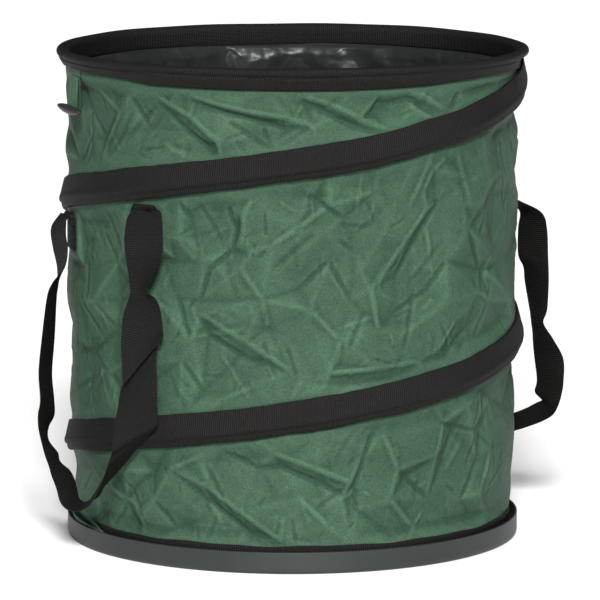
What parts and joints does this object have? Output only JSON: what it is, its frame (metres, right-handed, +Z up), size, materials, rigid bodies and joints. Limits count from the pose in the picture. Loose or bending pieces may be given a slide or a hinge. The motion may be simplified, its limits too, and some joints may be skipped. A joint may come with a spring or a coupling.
{
  "type": "pop up leaf bag",
  "caption": "Collapsible round garden bag: coated cloth wall held up by a sprung wire spiral, webbing-bound rim, rigid base tray, strap handles, and toggles that hold it flat.",
  "frame": {"origin": "middle of the tray's underside, on the ground", "axes": "+Z up the bag's axis, -Y towards the picture's viewer, +X to the viewer's right"},
  "size_m": [0.5166, 0.48, 0.5],
  "materials": {
    "grey_plastic": "satin, moulded",
    "black_plastic": "satin, moulded",
    "board_plastic": "plain sheet",
    "green_cloth": "coated plain weave, soft sheen",
    "black_film": "glossy crumpled film",
    "black_webbing": "ribbed webbing",
    "handle_webbing": "ribbed webbing",
    "spring_steel": "drawn wire"
  },
  "bodies": {
    "base": {"base_tray": "grey_plastic", "snap_rivet_1": "black_plastic", "snap_rivet_2": "black_plastic", "snap_rivet_3": "black_plastic", "snap_rivet_4": "black_plastic", "bottom_board": "board_plastic", "bag_wall": "green_cloth", "bag_lining": "black_film", "foot_binding": "black_webbing", "foot_ring": "spring_steel", "foot_ring_sleeve": "spring_steel", "spiral_spring": "spring_steel", "spiral_casing": "black_webbing", "handle_left_front_end": "handle_webbing", "handle_left_rear_end": "handle_webbing", "handle_right_front_end": "handle_webbing", "handle_right_rear_end": "handle_webbing"},
    "rim": {"rim_binding": "black_webbing", "rim_ring": "spring_steel", "rim_ring_sleeve": "spring_steel"},
    "handle_left_folds": {"handle_left_front_fold": "handle_webbing", "handle_left_rear_fold": "handle_webbing"},
    "handle_left_loop": {"handle_left_loop": "handle_webbing"},
    "toggle_left_tape": {"toggle_left_tape": "green_cloth"},
    "toggle_left": {"toggle_left": "black_plastic"},
    "foot_loop_left": {"foot_loop_left": "green_cloth"},
    "handle_right_folds": {"handle_right_front_fold": "handle_webbing", "handle_right_rear_fold": "handle_webbing"},
    "handle_right_loop": {"handle_right_loop": "handle_webbing"},
    "toggle_right_tape": {"toggle_right_tape": "green_cloth"},
    "toggle_right": {"toggle_right": "black_plastic"},
    "foot_loop_right": {"foot_loop_right": "green_cloth"}
  },
  "joints": [
    {"name": "collapse", "type": "slide", "parent": "base", "child": "rim", "axis": [0, 0, 1], "range_m": [-0.375, 0], "stiffness_N_per_m": 60, "springref_m": 0.1, "deforming": ["bag_wall", "bag_lining", "spiral_spring", "spiral_casing", "handle_left_front_end", "handle_left_rear_end", "handle_right_front_end", "handle_right_rear_end"]},
    {"name": "handle_left_slide", "type": "slide", "parent": "base", "child": "handle_left_folds", "axis": [0, 0, 1], "range_m": [-0.28, 0]},
    {"name": "handle_left_swing", "type": "hinge", "parent": "handle_left_folds", "child": "handle_left_loop", "pos_m": [-0.18694, -0.11913, 0.34482], "axis": [-0.5295, 0.8333, -0.1587], "range_deg": [0, 120]},
    {"name": "toggle_left_tape_swing", "type": "hinge", "parent": "rim", "child": "toggle_left_tape", "pos_m": [-0.21604, -0.08077, 0.47495], "axis": [-0.3502, 0.9367, 0], "range_deg": [0, 120]},
    {"name": "toggle_left_turn", "type": "hinge", "parent": "toggle_left_tape", "child": "toggle_left", "pos_m": [-0.21838, -0.08165, 0.44045], "axis": [-0.9367, -0.3502, 0], "range_deg": [-15, 90]},
    {"name": "foot_loop_left_lift", "type": "hinge", "parent": "base", "child": "foot_loop_left", "pos_m": [-0.19085, -0.11926, 0.016], "axis": [0.9265, 0.3614, 0.1045], "range_deg": [0, 40]},
    {"name": "handle_right_slide", "type": "slide", "parent": "base", "child": "handle_right_folds", "axis": [0, 0, 1], "range_m": [-0.28, 0]},
    {"name": "handle_right_swing", "type": "hinge", "parent": "handle_right_folds", "child": "handle_right_loop", "pos_m": [0.18694, 0.11913, 0.34482], "axis": [0.5295, -0.8333, -0.1587], "range_deg": [0, 120]},
    {"name": "toggle_right_tape_swing", "type": "hinge", "parent": "rim", "child": "toggle_right_tape", "pos_m": [0.18778, 0.13394, 0.47495], "axis": [0.5807, -0.8141, 0], "range_deg": [0, 120]},
    {"name": "toggle_right_turn", "type": "hinge", "parent": "toggle_right_tape", "child": "toggle_right", "pos_m": [0.18981, 0.13539, 0.44045], "axis": [0.8141, 0.5807, 0], "range_deg": [-15, 90]},
    {"name": "foot_loop_right_lift", "type": "hinge", "parent": "base", "child": "foot_loop_right", "pos_m": [0.15348, 0.16459, 0.016], "axis": [-0.8014, -0.5889, 0.1045], "range_deg": [0, 40]}
  ],
  "couplings": [
    {"joint": "handle_left_slide", "follows": "collapse", "ratio": 0.743},
    {"joint": "handle_right_slide", "follows": "collapse", "ratio": 0.743}
  ]
}
